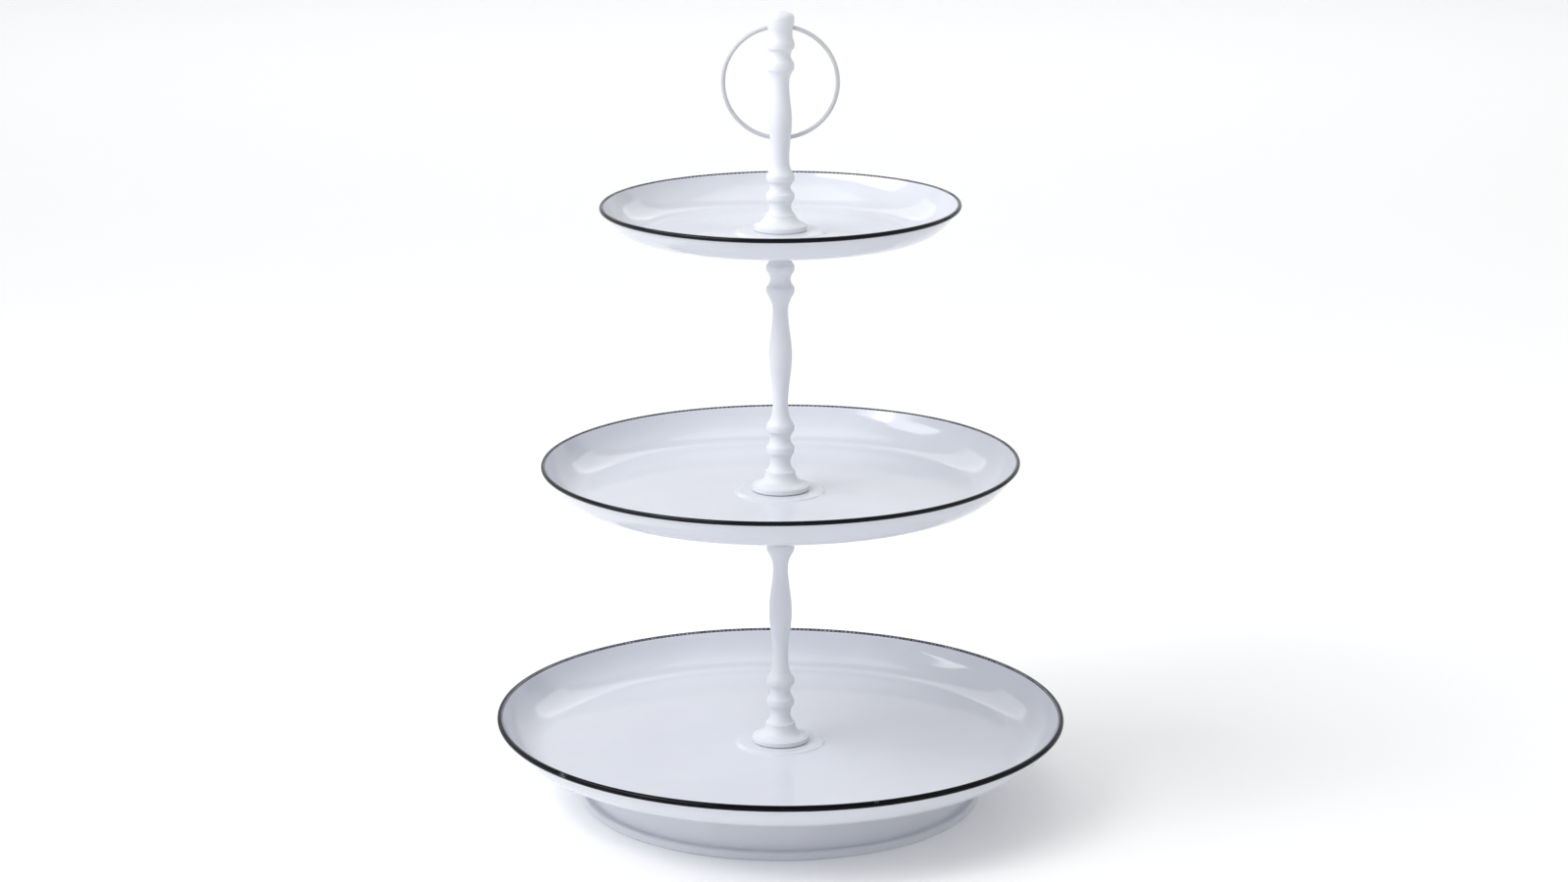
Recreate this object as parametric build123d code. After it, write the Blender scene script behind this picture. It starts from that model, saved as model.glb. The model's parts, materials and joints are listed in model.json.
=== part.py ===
from build123d import *
import math
import os

# Three-tier cake stand. Millimetres, +Z up, origin on the table under the stand's axis.
# The stand is stacked along Z: foot ring, tray, post, tray, post, tray, handle post.
# Studs and one screw along the axis clamp the stack, with soft gaskets at each tray.

# ---------------------------------------------------------------- trays
SHEET = 1.0                      # enamelled steel sheet of the trays
TRAY_LEVELS = (37.0, 223.5, 410.0)      # underside of each tray's floor
TRAY_NAMES = ("bottom", "middle", "top")
RIM_RADII = (201.0, 167.5, 124.3)       # centre line of each rolled rim
RIM_HEIGHTS = (22.7, 22.7, 19.8)        # rim centre above the tray's underside
RIM_BEADS = (2.1, 1.6, 1.6)             # radius of each rim's round section
WALL_BEND = 33.0                 # bend between floor and wall, on the underside
WALL_ANGLE = 64.0                # slope of the wall at the rim, from horizontal
BOSS_RISE = 1.5                  # raised disc that the post stands on
BOSS_TOP_RADIUS = 29.0
BOSS_BLEND = 4.0                 # bend of the boss's shoulder, on its upper face
TRAY_HOLE = 3.3

# ---------------------------------------------------------------- foot ring
FOOT_WALL_RADIUS = 138.0         # outside of the upright wall
FOOT_SHEET = 1.2
FOOT_LIP_RADIUS = 143.0          # outside of the rolled lip
FOOT_LIP_HEIGHT = 6.4
FOOT_LIP_ROUND = 2.0
FOOT_FLANGE = 9.0                # width of the flange welded under the tray
FOOT_CORNER = 2.5

# ---------------------------------------------------------------- fasteners and gaskets
GASKET = 0.5
FLANGE_GASKET_RADIUS = 18.2
COLLAR_GASKET_RADIUS = 9.6
BASE_GASKET_RADIUS = 13.0
THREAD_RADIUS = 3.0
STUD_REACH = 14.0                # how far a stud enters each post
SOCKET_DEPTH = 16.0
STUD_CHAMFER = 0.6
WASHER_RADIUS = 11.0
WASHER = 1.6
SPRING_WASHER_RADIUS = 5.5
SPRING_WASHER = 1.5
SPRING_WASHER_GAP = 1.2
SPRING_WASHER_SLANT = 25.0       # degrees by which the cut through the spring washer leans
SCREW_HEAD_RADIUS = 5.8
SCREW_HEAD = 3.4
SCREW_HEAD_ROUND = 1.9
RECESS_DEPTH = 2.0
RECESS_LENGTH = 6.0
RECESS_WIDTH = 1.3

# ---------------------------------------------------------------- posts
POST_FLANGE = 20.2               # foot flange of the two long posts
HANDLE_FLANGE = 18.4             # foot flange of the handle post
FLANGE_EDGE = 3.4
FLANGE_ROUND = 0.7
FLANGE_STEP = 1.7                # ledge between the flange's edge and the flare
FLARE_START = 3.8                # height at which the flare leaves the ledge
BEAD = 9.95                      # crest of the turned beads
CREASE = 9.6                     # where a bead meets the cove beside it
COVE = 7.2                       # waist of the coves
WIDE_COVE = 7.6                  # waist of the handle post's lowest cove
COLLAR = 10.3                    # top collar under the next tray
COLLAR_ROUND = 0.6
HANDLE_HEIGHT = 152.1

# ---------------------------------------------------------------- carry ring
RING_RADIUS = 39.6               # centre line of the wire
WIRE = 1.5                       # wire radius
BORE = 2.3                       # cross hole in the handle's head
BORE_HEIGHT = 140.9              # above the handle post's base
HEAD_RADIUS = 9.2                # of the head at the cross hole
REST_RADIUS = 7.1                # of the handle post where the ring leans on it
RING_CLEARANCE = 0.3

NEAR = 0.01                      # a corner this close is the one looked for
POST_LENGTH = TRAY_LEVELS[1] - TRAY_LEVELS[0] - SHEET - 2 * GASKET


def post_base(level):
    """Height of the foot of the post that stands on a tray."""
    return level + SHEET + BOSS_RISE + GASKET


def outline(start, steps):
    """Joined edges in the XZ plane, from (radius, height) points.

    A point is a straight run to it, a pair of points is an arc through the
    first to the second, and a list is a smooth curve through its points.
    """
    edges = []
    here = (start[0], 0, start[1])
    for step in steps:
        if isinstance(step, list):
            points = [(r, 0, z) for r, z in step]
            edges.append(Spline(here, *points))
        elif isinstance(step[0], tuple):
            points = [(r, 0, z) for r, z in step]
            edges.append(ThreePointArc(here, *points))
        else:
            points = [(step[0], 0, step[1])]
            edges.append(Line(here, points[0]))
        here = points[-1]
    return edges


def turned(steps):
    """Solid of revolution about Z, from an outline that starts and ends on the axis."""
    return revolve(make_face(outline((0, 0), steps + [(0, 0)])), Axis.Z)


def disc(radius, thickness, level, hole):
    """Flat washer with its underside at the given height."""
    plate = Cylinder(radius, thickness) - Cylinder(hole, thickness)
    return Pos(0, 0, level + thickness / 2) * plate


def flange_steps(radius):
    """Foot flange of a post, up to the start of its flare."""
    inset = FLANGE_ROUND * (1 - math.sqrt(0.5))
    top = FLANGE_EDGE
    return [
        (radius - FLANGE_ROUND, 0),
        ((radius - inset, inset), (radius, FLANGE_ROUND)),
        (radius, top - FLANGE_ROUND),
        ((radius - inset, top - inset), (radius - FLANGE_ROUND, top)),
        (radius - FLANGE_STEP, top),
        (radius - FLANGE_STEP, FLARE_START),
    ]


def turning(middle, high, radius):
    """Bead or cove: an arc through its crest or waist, up to the crease above it."""
    return ((radius, middle), (CREASE, high))


def dome(radius, low, high):
    """Shallow dome: an arc centred on the axis, from its edge to its top."""
    rise = high - low
    sphere = (radius ** 2 + rise ** 2) / (2 * rise)
    middle = high - sphere + math.sqrt(sphere ** 2 - radius ** 2 / 4)
    return ((radius / 2, middle), (0, high))


def sockets(post, length, depth, both_ends):
    """Threaded sockets for the studs, as plain holes on the axis."""
    post -= Pos(0, 0, depth / 2) * Cylinder(THREAD_RADIUS, depth)
    if both_ends:
        post -= Pos(0, 0, length - depth / 2) * Cylinder(THREAD_RADIUS, depth)
    return post


def long_post(base):
    """Lower or middle post, the same turned piece."""
    top = POST_LENGTH
    steps = flange_steps(POST_FLANGE)
    steps += [((12.9, 6.6), (10.5, 12.4)), (10.5, 13.3), (9.6, 13.8)]
    steps += [turning(20.3, 26.5, COVE), turning(28.9, 31.3, BEAD)]
    steps += [turning(36.7, 42.1, COVE), turning(44.5, 46.9, BEAD)]
    belly = [(7.1, 51.2), (6.0, 55.4), (5.45, 65.0), (8.2, 98.5), (5.4, 126.5), (5.95, 133.5)]
    steps += [belly + [(CREASE, 141.2)]]
    steps += [turning(143.6, 145.9, BEAD)]
    steps += [turning(151.3, 156.8, COVE), turning(159.1, 161.4, BEAD)]
    steps += [((COVE, 167.2), (CREASE, 173.4)), (COLLAR, 173.8)]
    steps += [(COLLAR, top - COLLAR_ROUND), (COLLAR - COLLAR_ROUND, top), (0, top)]
    return Pos(0, 0, base) * sockets(turned(steps), top, SOCKET_DEPTH, True)


def handle_post(base):
    """Short post on the top tray, with the domed head that holds the carry ring."""
    steps = flange_steps(HANDLE_FLANGE)
    steps += [((12.4, 6.9), (10.4, 9.9)), (10.4, 10.7), (9.6, 11.1)]
    steps += [turning(16.1, 21.0, WIDE_COVE), turning(23.2, 25.4, BEAD)]
    steps += [turning(29.8, 34.1, COVE), turning(36.3, 38.6, BEAD)]
    steps += [[(7.2, 42.7), (6.15, 49.6), (8.05, 76.5), (6.15, 101.6), (7.0, 107.4), (8.6, 110.6)]]
    steps += [(9.4, 111.8), (9.6, 113.4), (9.6, 115.2), (9.1, 117.1)]
    steps += [turning(121.4, 126.4, COVE), turning(128.8, 131.0, BEAD)]
    steps += [((8.4, 134.4), (HEAD_RADIUS, 140.9)), (9.65, 144.9), (9.7, 147.4)]
    steps += [((9.0, 149.1), (7.1, 150.4)), dome(7.1, 150.4, HANDLE_HEIGHT)]
    post = sockets(turned(steps), HANDLE_HEIGHT, SOCKET_DEPTH, False)
    through = 4 * HEAD_RADIUS
    post -= Pos(0, 0, BORE_HEIGHT) * Rot(0, 90, 0) * Cylinder(BORE, through)
    return Pos(0, 0, base) * post


def tray_side(rim_radius, rim_height, rim_bead, lift):
    """Edges of one face of the tray's sheet, from the centre hole to the rim.

    lift is 0 for the underside and SHEET for the upper face. The upper face
    runs into the rim's round section as a tangent.
    """
    slope = math.radians(WALL_ANGLE)
    bend = WALL_BEND - lift
    gap = rim_bead - (SHEET - lift)
    end_r = rim_radius - gap * math.sin(slope)
    end_z = rim_height + gap * math.cos(slope)
    run = (end_z - lift - bend * (1 - math.cos(slope))) / math.sin(slope)
    floor_radius = end_r - bend * math.sin(slope) - run * math.cos(slope)

    turn = math.degrees(math.acos(1 - BOSS_RISE / (2 * BOSS_BLEND - SHEET)))
    boss = Line((TRAY_HOLE, BOSS_RISE + lift), (BOSS_TOP_RADIUS, BOSS_RISE + lift))
    crown = JernArc(boss @ 1, boss % 1, BOSS_BLEND - SHEET + lift, -turn)
    hollow = JernArc(crown @ 1, crown % 1, BOSS_BLEND - lift, turn)
    floor = Line(hollow @ 1, (floor_radius, lift))
    knuckle = JernArc(floor @ 1, (1, 0), bend, WALL_ANGLE)
    wall = Line(knuckle @ 1, (end_r, end_z))
    return [boss, crown, hollow, floor, knuckle, wall]


def tray_section(index):
    """Half section of a tray's sheet, with r along X and height along Y."""
    size = (RIM_RADII[index], RIM_HEIGHTS[index], RIM_BEADS[index])
    under = tray_side(*size, 0)
    upper = tray_side(*size, SHEET)
    hole = Line(under[0] @ 0, upper[0] @ 0)
    edge = Line(under[-1] @ 1, upper[-1] @ 1)
    return make_face(under + upper + [hole, edge])


def rim_section(index):
    """Half section of a rim: a round bar, grooved for the edge of the tray's sheet."""
    bar = Pos(RIM_RADII[index], RIM_HEIGHTS[index]) * Circle(RIM_BEADS[index])
    return bar - tray_section(index)


def spun(section, level):
    """Revolve a half section about Z and lift it to its height."""
    return Pos(0, 0, level) * revolve(Plane.XZ * section, Axis.Z)


def corners_at(section, radius, height):
    """Corners of a half section that are at a radius and a height."""
    place = Vector(radius, height)
    return [c for c in section.vertices() if (Vector(c.X, c.Y) - place).length < NEAR]


def foot_ring():
    """Upright ring with a rolled lip on the table and a flange under the bottom tray."""
    top = TRAY_LEVELS[0]
    inner = FOOT_WALL_RADIUS - FOOT_SHEET
    flange = FOOT_WALL_RADIUS - FOOT_FLANGE
    wall = [
        (inner, 0), (FOOT_LIP_RADIUS, 0), (FOOT_LIP_RADIUS, FOOT_LIP_HEIGHT),
        (FOOT_WALL_RADIUS, FOOT_LIP_HEIGHT), (FOOT_WALL_RADIUS, top),
        (flange, top), (flange, top - FOOT_SHEET), (inner, top - FOOT_SHEET),
    ]
    section = make_face(Polyline(*wall, close=True))
    for height in (0, FOOT_LIP_HEIGHT):
        section = fillet(corners_at(section, FOOT_LIP_RADIUS, height), FOOT_LIP_ROUND)
    section = fillet(corners_at(section, FOOT_WALL_RADIUS, top), FOOT_CORNER)
    inside = corners_at(section, inner, top - FOOT_SHEET)
    section = fillet(inside, FOOT_CORNER - FOOT_SHEET)
    return spun(section, 0)


def stud(index):
    """Threaded rod through a tray, from the post below it to the post above it."""
    low = TRAY_LEVELS[index] + BOSS_RISE - GASKET - STUD_REACH
    high = post_base(TRAY_LEVELS[index]) + STUD_REACH
    rod = Cylinder(THREAD_RADIUS, high - low)
    rod = chamfer(rod.edges(), STUD_CHAMFER)
    return Pos(0, 0, (low + high) / 2) * rod


def base_parts():
    """Screw, spring washer and flat washer under the bottom tray."""
    washer_top = TRAY_LEVELS[0] + BOSS_RISE - GASKET
    washer_low = washer_top - WASHER
    spring_low = washer_low - SPRING_WASHER
    head_low = spring_low - SCREW_HEAD

    washer = disc(WASHER_RADIUS, WASHER, washer_low, TRAY_HOLE)
    spring = disc(SPRING_WASHER_RADIUS, SPRING_WASHER, spring_low, TRAY_HOLE)
    through = 3 * SPRING_WASHER
    cut = Box(2 * SPRING_WASHER_RADIUS, SPRING_WASHER_GAP, through)
    spring -= Pos(SPRING_WASHER_RADIUS, 0, spring_low) * Rot(SPRING_WASHER_SLANT, 0, 0) * cut

    tip = post_base(TRAY_LEVELS[0]) + STUD_REACH
    shank = Cylinder(THREAD_RADIUS, tip - spring_low)
    shank = chamfer(shank.edges().sort_by(Axis.Z)[-1], STUD_CHAMFER)
    head = Cylinder(SCREW_HEAD_RADIUS, SCREW_HEAD)
    head = fillet(head.edges().sort_by(Axis.Z)[0], SCREW_HEAD_ROUND)
    for turn in (0, 90):
        slot = Box(RECESS_LENGTH, RECESS_WIDTH, 2 * RECESS_DEPTH)
        head -= Pos(0, 0, -SCREW_HEAD / 2) * Rot(0, 0, turn) * slot
    screw = Pos(0, 0, (tip + spring_low) / 2) * shank
    screw += Pos(0, 0, head_low + SCREW_HEAD / 2) * head
    return {"base_screw": screw, "base_spring_washer": spring, "base_washer": washer}


def carry_ring(base):
    """Closed wire ring through the cross hole, leaning on the back of the handle post."""
    sag = RING_RADIUS - math.sqrt(RING_RADIUS ** 2 - HEAD_RADIUS ** 2)
    drop = RING_RADIUS - sag / 2        # ring centre below the cross hole's axis
    reach = drop + RING_RADIUS
    lean = math.degrees(math.asin((REST_RADIUS + WIRE + RING_CLEARANCE) / reach))
    ring = Pos(0, 0, -drop) * Rot(90, 0, 0) * Torus(RING_RADIUS, WIRE)
    return Pos(0, 0, base + BORE_HEIGHT) * Rot(lean, 0, 0) * ring


def build():
    """Every piece of the stand, by the name of its node."""
    bases = [post_base(level) for level in TRAY_LEVELS]
    parts = {"foot_ring": foot_ring()}
    for index, name in enumerate(TRAY_NAMES):
        level = TRAY_LEVELS[index]
        parts[name + "_tray"] = spun(tray_section(index), level)
        parts[name + "_rim"] = spun(rim_section(index), level)
        above = bases[index] - GASKET
        below = level + BOSS_RISE - GASKET
        under = BASE_GASKET_RADIUS if index == 0 else COLLAR_GASKET_RADIUS
        parts[name + "_gasket_upper"] = disc(FLANGE_GASKET_RADIUS, GASKET, above, TRAY_HOLE)
        parts[name + "_gasket_lower"] = disc(under, GASKET, below, TRAY_HOLE)
    parts["lower_post"] = long_post(bases[0])
    parts["middle_post"] = long_post(bases[1])
    parts["handle_post"] = handle_post(bases[2])
    parts["carry_ring"] = carry_ring(bases[2])
    parts["middle_stud"] = stud(1)
    parts["top_stud"] = stud(2)
    parts.update(base_parts())
    return parts


os.makedirs("parts", exist_ok=True)
for node, solid in build().items():
    export_step(solid, "parts/" + node + ".step")
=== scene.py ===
import json
import math

import bmesh
import bpy
import numpy as np
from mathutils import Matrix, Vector


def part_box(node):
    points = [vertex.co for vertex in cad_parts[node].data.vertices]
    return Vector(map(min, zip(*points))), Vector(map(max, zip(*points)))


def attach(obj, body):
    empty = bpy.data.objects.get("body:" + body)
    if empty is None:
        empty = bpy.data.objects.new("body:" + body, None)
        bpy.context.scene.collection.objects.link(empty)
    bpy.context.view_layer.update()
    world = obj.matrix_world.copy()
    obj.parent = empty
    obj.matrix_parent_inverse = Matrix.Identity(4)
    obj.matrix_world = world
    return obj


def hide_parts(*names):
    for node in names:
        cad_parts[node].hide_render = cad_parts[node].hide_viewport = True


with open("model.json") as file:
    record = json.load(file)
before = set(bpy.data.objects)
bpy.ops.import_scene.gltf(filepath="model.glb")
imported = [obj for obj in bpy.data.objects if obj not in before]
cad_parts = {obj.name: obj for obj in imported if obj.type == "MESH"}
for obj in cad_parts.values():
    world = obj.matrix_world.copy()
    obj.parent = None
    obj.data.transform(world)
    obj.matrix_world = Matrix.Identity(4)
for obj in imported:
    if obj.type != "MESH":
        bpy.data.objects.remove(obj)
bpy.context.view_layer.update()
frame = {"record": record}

# Outlines are drawn in millimetres as (radius, height) and turned about Z.
# Radii, levels and heights come from the frame's boxes wherever a box gives them.
MM = 0.001
FINE = 0.1                  # spacing of an outline's points while it is drawn


def low(node):
    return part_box(node)[0] / MM


def high(node):
    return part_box(node)[1] / MM


# ------------------------------------------------------------------ sizes
TIERS = ("bottom", "middle", "top")
SHEET = 1.0                 # enamelled sheet of the trays
LEVELS = [low(tier + "_tray").z for tier in TIERS]
BEADS = [(high(tier + "_rim").z - low(tier + "_rim").z) / 2 for tier in TIERS]
RIM_RADII = [high(tier + "_rim").x - bead for tier, bead in zip(TIERS, BEADS)]
RIM_LEVELS = [high(tier + "_rim").z - bead for tier, bead in zip(TIERS, BEADS)]
WALL_BEND = 33.0            # bend between floor and wall, on the underside
WALL_ANGLE = 64.0           # slope of the wall at the rim, from horizontal
BOSS_RISE = 1.5             # raised disc that each post stands on
BOSS_TOP_RADIUS = 29.0
BOSS_BLEND = 4.0
HOLE = 3.3                  # through trays, gaskets and washers, for the M6 thread

FOOT_LIP_RADIUS = high("foot_ring").x
FOOT_WALL_RADIUS = FOOT_LIP_RADIUS - 5.0
FOOT_SHEET = 1.2
FOOT_LIP_HEIGHT = 6.4
FOOT_LIP_ROUND = 2.0
FOOT_FLANGE = 9.0
FOOT_CORNER = 2.5

POST_LENGTH = high("lower_post").z - low("lower_post").z
HANDLE_HEIGHT = high("handle_post").z - low("handle_post").z
FLANGE_EDGE = 3.4
FLANGE_ROUND = 0.35
FLANGE_STEP = 1.7
FLARE_START = 3.8
# Radii of the posts' turning: crests, creases between them, and waists.
BEAD, CREASE, COVE, WIDE_COVE = 9.95, 9.6, 7.2, 7.6
COLLAR = 10.3
COLLAR_ROUND = 0.6
THREAD_RADIUS = high("top_stud").x
SOCKET_DEPTH = 16.0
BORE = 2.3                  # radius of the cross bore in the handle's head
BORE_LIP = 0.55             # rounding where it comes out
BORE_HEIGHT = 140.9         # of its axis above the handle's foot
HEAD_RADIUS = 9.2


# ------------------------------------------------------------------ outlines
def run_to(here, there):
    """Points on a straight run, without its first."""
    count = max(2, math.ceil(math.dist(here, there) / FINE))
    way = np.subtract(there, here)
    return [tuple(np.add(here, way * i / count)) for i in range(1, count + 1)]


def arc_to(here, middle, there):
    """Points on the arc through three points, without its first."""
    (ax, ay), (bx, by), (cx, cy) = here, middle, there
    twice = 2 * (ax * (by - cy) + bx * (cy - ay) + cx * (ay - by))
    sa, sb, sc = ax * ax + ay * ay, bx * bx + by * by, cx * cx + cy * cy
    x = (sa * (by - cy) + sb * (cy - ay) + sc * (ay - by)) / twice
    y = (sa * (cx - bx) + sb * (ax - cx) + sc * (bx - ax)) / twice
    radius = math.dist(here, (x, y))
    start = math.atan2(ay - y, ax - x)
    sweep = (math.atan2(cy - y, cx - x) - start) % math.tau
    passed = (math.atan2(by - y, bx - x) - start) % math.tau
    if passed > sweep:
        sweep -= math.tau
    count = max(4, math.ceil(abs(sweep) * radius / FINE))
    turns = [start + sweep * i / count for i in range(1, count + 1)]
    return [(x + radius * math.cos(a), y + radius * math.sin(a)) for a in turns]


def curve_to(here, knots):
    """Points on a natural cubic spline through the knots, without its first."""
    p = np.array([here] + knots, float)
    t = np.concatenate([[0], np.cumsum(np.linalg.norm(np.diff(p, axis=0), axis=1))])
    gap = np.diff(t)
    count = len(p)
    matrix = np.eye(count)
    right = np.zeros((count, 2))
    for i in range(1, count - 1):
        matrix[i, i - 1:i + 2] = gap[i - 1], 2 * (gap[i - 1] + gap[i]), gap[i]
        right[i] = 6 * ((p[i + 1] - p[i]) / gap[i] - (p[i] - p[i - 1]) / gap[i - 1])
    bend = np.linalg.solve(matrix, right)
    points = []
    for i in range(count - 1):
        for s in np.linspace(0, gap[i], math.ceil(gap[i] / FINE) + 1)[1:]:
            a, b = gap[i] - s, s
            value = (bend[i] * a ** 3 + bend[i + 1] * b ** 3) / (6 * gap[i])
            value = value + (p[i] / gap[i] - bend[i] * gap[i] / 6) * a
            value = value + (p[i + 1] / gap[i] - bend[i + 1] * gap[i] / 6) * b
            points.append(tuple(value))
    return points


OUT, IN, UP, DOWN = (np.array(way, float) for way in ((1, 0), (-1, 0), (0, 1), (0, -1)))
ARC_INSET = 0.293           # how far inside its corner a quarter circle's middle lies


def rounded(corner, size, arriving, leaving):
    """Steps to a square corner and round it by a quarter circle."""
    corner = np.array(corner, float)
    middle = corner + size * ARC_INSET * (leaving - arriving)
    return [tuple(corner - size * arriving), (tuple(middle), tuple(corner + size * leaving))]


def trace(start, steps):
    """Outline from steps: a point is a straight run, a pair an arc, a list a spline."""
    points = [start]
    for step in steps:
        if isinstance(step, list):
            points += curve_to(points[-1], step)
        elif isinstance(step[0], tuple):
            points += arc_to(points[-1], *step)
        else:
            points += run_to(points[-1], step)
    return points


class Pen:
    """Draws an outline as straight runs and tangent arcs, from a point and a heading."""

    def __init__(self, radius, height, heading=0.0):
        self.points = [(radius, height)]
        self.heading = math.radians(heading)

    def run(self, length):
        r, z = self.points[-1]
        end = (r + length * math.cos(self.heading), z + length * math.sin(self.heading))
        self.points += run_to((r, z), end)

    def turn(self, radius, angle):
        """Arc of that radius; a positive angle turns left."""
        side = math.copysign(1, angle)
        r, z = self.points[-1]
        centre_r = r - side * radius * math.sin(self.heading)
        centre_z = z + side * radius * math.cos(self.heading)
        sweep = math.radians(angle)
        count = max(4, math.ceil(abs(sweep) * radius / FINE))
        for i in range(1, count + 1):
            a = self.heading + sweep * i / count - side * math.pi / 2
            self.points.append((centre_r + radius * math.cos(a), centre_z + radius * math.sin(a)))
        self.heading += sweep


def lengths_along(points):
    return np.concatenate([[0], np.cumsum(np.linalg.norm(np.diff(points, axis=0), axis=1))])


def sample(points, along, places):
    return np.column_stack([np.interp(places, along, points[:, k]) for k in (0, 1)])


def soften(points, spread, closed=False):
    """The outline evenly spaced, with its creases rounded as by a coat of paint."""
    points = np.array(points, float)
    along = lengths_along(points)
    count = math.ceil(along[-1] / FINE)
    even = sample(points, along, np.linspace(0, along[-1], count + 1))
    reach = max(1, math.ceil(3 * spread / FINE))
    weights = np.exp(-0.5 * (np.arange(-reach, reach + 1) * FINE / spread) ** 2)
    weights /= weights.sum()
    if closed:
        padded = np.concatenate([even[-reach - 1:-1], even, even[1:reach + 1]])
    else:
        before = 2 * even[0] - even[reach:0:-1]
        after = 2 * even[-1] - even[-2:-reach - 2:-1]
        padded = np.concatenate([before, even, after])
    return np.column_stack([np.convolve(padded[:, k], weights, "valid") for k in (0, 1)])


def spaced(points, closeness=0.006, longest=2.5, growth=0.22):
    """The outline with its points close together only where it bends."""
    along = lengths_along(points)
    heading = np.unwrap(np.arctan2(np.gradient(points[:, 1]), np.gradient(points[:, 0])))
    bend = np.abs(np.gradient(heading)) / np.maximum(np.gradient(along), 1e-6)
    step = np.clip(np.sqrt(8 * closeness / np.maximum(bend, 1e-6)), 1.2 * FINE, longest)
    for order in (range(1, len(step)), range(len(step) - 2, -1, -1)):
        for i in order:
            before = i - 1 if order.step > 0 else i + 1
            step[i] = min(step[i], step[before] + growth * abs(along[i] - along[before]))
    share = np.concatenate([[0], np.cumsum(np.diff(along) / ((step[1:] + step[:-1]) / 2))])
    count = math.ceil(share[-1])
    places = np.interp(np.linspace(0, share[-1], count + 1), share, along)
    return sample(points, along, places)


def rounded_box(inner, outer, floor, top, spread):
    """Closed outline of a flat ring with softened edges."""
    corners = [(outer, floor), (outer, top), (inner, top), (inner, floor)]
    return spaced(soften(trace((inner, floor), corners), spread, closed=True), longest=1.0)


# ------------------------------------------------------------------ turned meshes
def even_angles(count):
    return np.arange(count) * math.tau / count


def angles_near(count, places, reach, extra):
    """Even angles, with more of them within reach of some places."""
    close = [np.linspace(place - reach, place + reach, extra) for place in places]
    angles = np.concatenate([even_angles(count)] + close) % math.tau
    angles = np.unique(np.round(angles, 6))
    keep = np.diff(angles, append=angles[0] + math.tau) > 0.5 * reach / extra
    return angles[keep]


def turn_grid(outline, angles):
    """Points of a turned surface, as rows up the outline and columns round the axis."""
    r, z = outline[:, 0][:, None], outline[:, 1][:, None]
    return np.stack([r * np.cos(angles), r * np.sin(angles), z + 0 * angles], axis=-1)


def make_object(name, vertices, faces):
    mesh = bpy.data.meshes.new(name)
    mesh.from_pydata([tuple(v) for v in np.asarray(vertices) * MM], [], faces)
    work = bmesh.new()
    work.from_mesh(mesh)
    bmesh.ops.remove_doubles(work, verts=work.verts, dist=1e-7)
    bmesh.ops.recalc_face_normals(work, faces=work.faces)
    work.to_mesh(mesh)
    work.free()
    mesh.shade_smooth()
    piece = bpy.data.objects.new(name, mesh)
    bpy.context.scene.collection.objects.link(piece)
    return piece


def grid_faces(rows, columns, closed, skip=()):
    """Quads of a turned grid, each (row, column) to the next ones round and up."""
    faces = []
    for i in range(rows if closed else rows - 1):
        above = (i + 1) % rows
        for j in range(columns):
            beside = (j + 1) % columns
            if (i, j) not in skip:
                faces.append((i * columns + j, i * columns + beside,
                              above * columns + beside, above * columns + j))
    return faces


def turned(name, outline, angles, closed=False, shape=None):
    """Turned piece. An outline that isn't closed starts and ends on the axis."""
    if closed:
        outline = outline[:-1]
    points = turn_grid(outline, angles)
    if shape:
        points = shape(points)
    faces = grid_faces(len(outline), len(angles), closed)
    return make_object(name, points.reshape(-1, 3), faces)


def finish_piece(piece, node, body="stand", finish=None):
    """Puts a detailed piece in place of its CAD node, with that node's finish or another."""
    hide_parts(node)
    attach(piece, body)
    piece.data.materials.append(finishes[finish or slot_of[node]])


def lobes(angle, counts, seed):
    """Gentle unevenness round the axis, between -1 and 1."""
    phases = np.random.default_rng(seed).uniform(0, math.tau, len(counts))
    return sum(np.cos(n * angle + phase) for n, phase in zip(counts, phases)) / len(counts)


def smooth_step(value, start, end):
    t = np.clip((value - start) / (end - start), 0, 1)
    return t * t * (3 - 2 * t)


def away_from(angle, place):
    """Angle between two places round the axis, the short way, in radians."""
    return np.abs((angle - place + math.pi) % math.tau - math.pi)


def polar(points):
    return np.hypot(points[..., 0], points[..., 1]), np.arctan2(points[..., 1], points[..., 0])


def push_out(points, amount):
    """Points moved away from the axis by an amount in millimetres."""
    radius = np.maximum(np.hypot(points[..., 0], points[..., 1]), 1e-9)
    points[..., 0] *= 1 + amount / radius
    points[..., 1] *= 1 + amount / radius
    return points


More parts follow.
